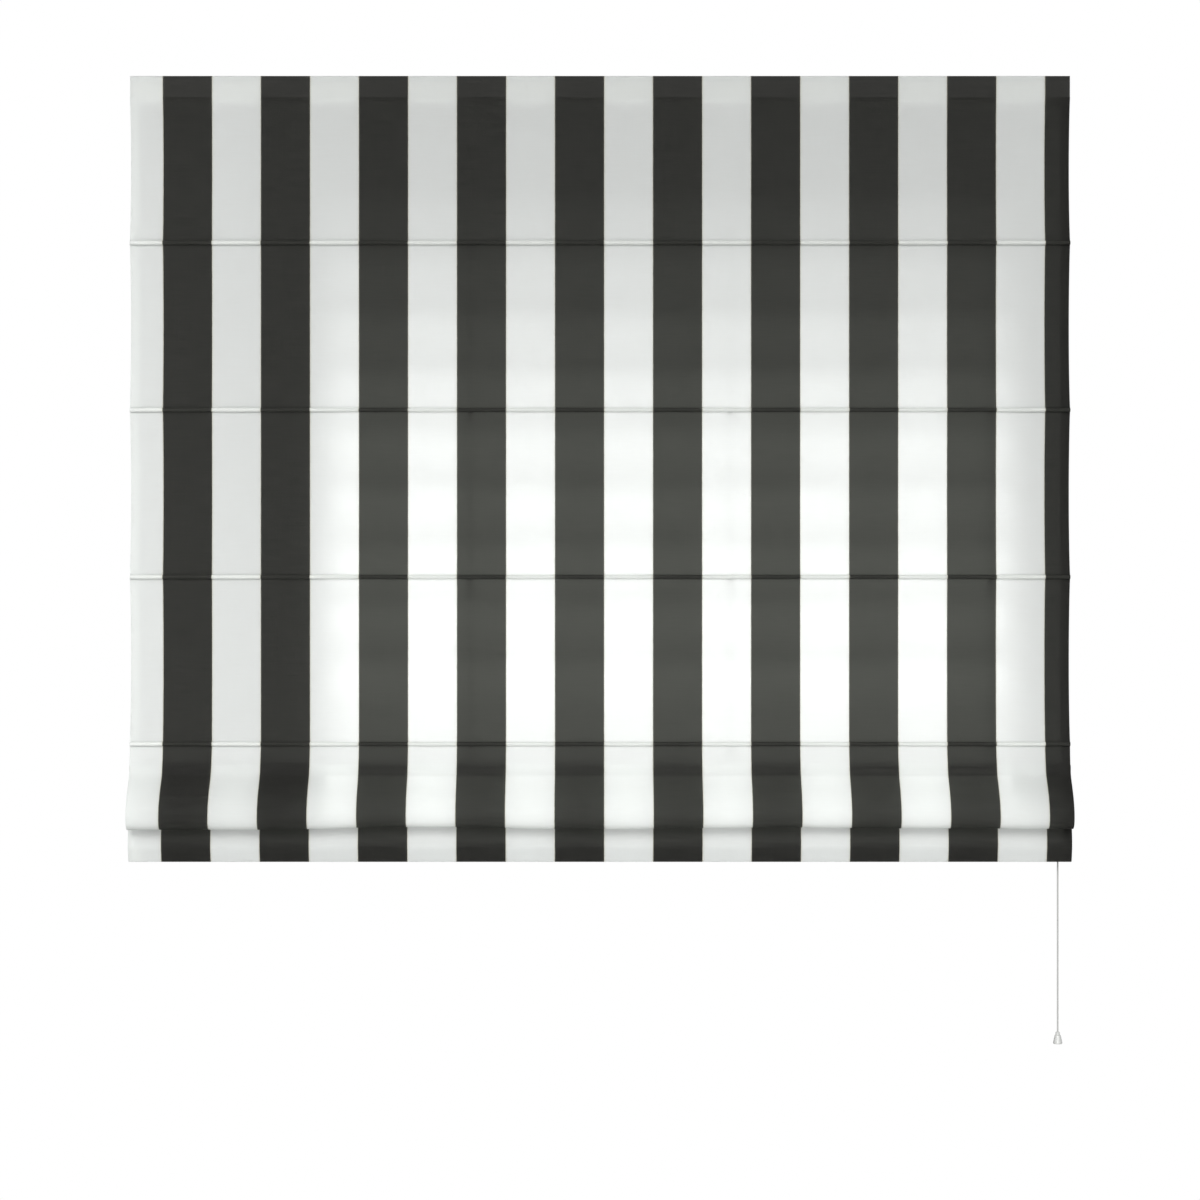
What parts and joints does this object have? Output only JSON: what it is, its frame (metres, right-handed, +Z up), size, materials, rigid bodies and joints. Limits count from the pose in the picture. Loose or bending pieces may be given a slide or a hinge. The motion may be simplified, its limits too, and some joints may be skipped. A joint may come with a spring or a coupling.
{
  "type": "roman blind",
  "caption": "Striped cotton roman blind with rods in face tucks, a gathered last fold, a weighted hem, an aluminium headrail, a cord lock and a pull cord with a bell knob.",
  "frame": {"origin": "on the wall plane, at the middle of the centre bracket's two screw holes", "axes": "+X along the rail to the right, +Y into the wall, +Z up; the cloth faces -Y"},
  "size_m": [1.3, 0.0807, 1.3405],
  "materials": {
    "rail_white": "white powder-coated extruded aluminium, satin",
    "bracket_zinc": "zinc-plated pressed steel",
    "moulded_white": "white injection-moulded plastic",
    "tape_white": "woven hook-and-loop tape",
    "blind_cloth": "plain-woven cotton in white and near-black stripes",
    "rod_fibre": "pultruded glass-fibre rod",
    "lift_braid": "white braided polyester cord",
    "pull_braid": "white braided cord, heavier",
    "bar_metal": "mill-finish flat aluminium",
    "pin_steel": "turned bright steel",
    "roller_brass": "knurled turned brass",
    "knob_plastic": "white moulded plastic, light sheen"
  },
  "bodies": {
    "rail": {"headrail": "rail_white", "end_cap_left": "moulded_white", "end_cap_right": "moulded_white", "hook_tape": "tape_white", "loop_tape": "tape_white", "bracket_left": "bracket_zinc", "bracket_centre": "bracket_zinc", "bracket_right": "bracket_zinc", "cam_rivet_left": "pin_steel", "cam_rivet_centre": "pin_steel", "cam_rivet_right": "pin_steel", "guide_housing_1": "moulded_white", "guide_housing_2": "moulded_white", "guide_housing_3": "moulded_white", "guide_housing_4": "moulded_white", "guide_axle_1": "pin_steel", "guide_axle_2": "pin_steel", "guide_axle_3": "pin_steel", "guide_axle_4": "pin_steel", "lock_housing": "moulded_white", "lock_axle": "pin_steel", "shade_fabric": "blind_cloth", "lift_cord_1": "lift_braid", "lift_cord_2": "lift_braid", "lift_cord_3": "lift_braid", "lift_cord_4": "lift_braid"},
    "cam_left": {"bracket_cam_left": "moulded_white"},
    "cam_centre": {"bracket_cam_centre": "moulded_white"},
    "cam_right": {"bracket_cam_right": "moulded_white"},
    "pulley_1": {"guide_pulley_1": "moulded_white"},
    "pulley_2": {"guide_pulley_2": "moulded_white"},
    "pulley_3": {"guide_pulley_3": "moulded_white"},
    "pulley_4": {"guide_pulley_4": "moulded_white"},
    "drum": {"lock_drum": "moulded_white"},
    "roller": {"lock_roller": "roller_brass"},
    "rod_level_1": {"rod_1": "rod_fibre", "rod_caps_1": "moulded_white", "rings_1": "moulded_white"},
    "rod_level_2": {"rod_2": "rod_fibre", "rod_caps_2": "moulded_white", "rings_2": "moulded_white"},
    "rod_level_3": {"rod_3": "rod_fibre", "rod_caps_3": "moulded_white", "rings_3": "moulded_white"},
    "rod_level_4": {"rod_4": "rod_fibre", "rod_caps_4": "moulded_white", "rings_4": "moulded_white"},
    "hem": {"rod_5": "rod_fibre", "rod_caps_5": "moulded_white", "rings_5": "moulded_white", "cord_stops": "moulded_white", "bottom_bar": "bar_metal", "bar_caps": "moulded_white"},
    "pull": {"cord_connector": "moulded_white", "pull_cord": "pull_braid", "pull_knob": "knob_plastic"}
  },
  "joints": [
    {"name": "cam_turn_left", "type": "hinge", "parent": "rail", "child": "cam_left", "pos_m": [-0.56, -0.015, 0.0132], "axis": [0, 0, -1], "range_deg": [0, 90]},
    {"name": "cam_turn_centre", "type": "hinge", "parent": "rail", "child": "cam_centre", "pos_m": [0, -0.015, 0.0132], "axis": [0, 0, -1], "range_deg": [0, 90]},
    {"name": "cam_turn_right", "type": "hinge", "parent": "rail", "child": "cam_right", "pos_m": [0.56, -0.015, 0.0132], "axis": [0, 0, -1], "range_deg": [0, 90]},
    {"name": "fold_1", "type": "slide", "parent": "rail", "child": "rod_level_1", "axis": [0, 0, 1], "range_m": [0, 0.184], "deforming": ["shade_fabric", "lift_cord_1", "lift_cord_2", "lift_cord_3", "lift_cord_4"]},
    {"name": "fold_2", "type": "slide", "parent": "rod_level_1", "child": "rod_level_2", "axis": [0, 0, 1], "range_m": [0, 0.219]},
    {"name": "fold_3", "type": "slide", "parent": "rod_level_2", "child": "rod_level_3", "axis": [0, 0, 1], "range_m": [0, 0.219]},
    {"name": "fold_4", "type": "slide", "parent": "rod_level_3", "child": "rod_level_4", "axis": [0, 0, 1], "range_m": [0, 0.219]},
    {"name": "last_fold", "type": "slide", "parent": "rod_level_4", "child": "hem", "axis": [0, 0, 1], "range_m": [-0.197, 0]},
    {"name": "cord_pull", "type": "slide", "parent": "rail", "child": "pull", "axis": [0, 0, -1], "range_m": [0, 0.842]},
    {"name": "pulley_turn_1", "type": "hinge", "parent": "rail", "child": "pulley_1", "pos_m": [-0.53525, -0.0185, -0.00215], "axis": [0, 1, 0], "range_deg": [0, 10165]},
    {"name": "pulley_turn_2", "type": "hinge", "parent": "rail", "child": "pulley_2", "pos_m": [-0.17525, -0.0185, -0.00395], "axis": [0, 1, 0], "range_deg": [0, 10165]},
    {"name": "pulley_turn_3", "type": "hinge", "parent": "rail", "child": "pulley_3", "pos_m": [0.18475, -0.0185, -0.00575], "axis": [0, 1, 0], "range_deg": [0, 10165]},
    {"name": "pulley_turn_4", "type": "hinge", "parent": "rail", "child": "pulley_4", "pos_m": [0.54475, -0.0185, -0.00755], "axis": [0, 1, 0], "range_deg": [0, 10165]},
    {"name": "drum_turn", "type": "hinge", "parent": "rail", "child": "drum", "pos_m": [0.62555, -0.0185, -0.00955], "axis": [0, 1, 0], "range_deg": [0, 7159]},
    {"name": "roller_slide", "type": "slide", "parent": "rail", "child": "roller", "axis": [0.1959, 0, 0.9806], "range_m": [-0.005, 0]}
  ],
  "couplings": [
    {"joint": "fold_2", "follows": "fold_1", "ratio": 1.1902},
    {"joint": "fold_3", "follows": "fold_1", "ratio": 1.1902},
    {"joint": "fold_4", "follows": "fold_1", "ratio": 1.1902},
    {"joint": "cord_pull", "follows": "fold_1", "ratio": 4.5707},
    {"joint": "pulley_turn_1", "follows": "fold_1", "rad_per_m": 962.24},
    {"joint": "pulley_turn_2", "follows": "fold_1", "rad_per_m": 962.24},
    {"joint": "pulley_turn_3", "follows": "fold_1", "rad_per_m": 962.24},
    {"joint": "pulley_turn_4", "follows": "fold_1", "rad_per_m": 962.24},
    {"joint": "drum_turn", "follows": "fold_1", "rad_per_m": 677.13}
  ]
}
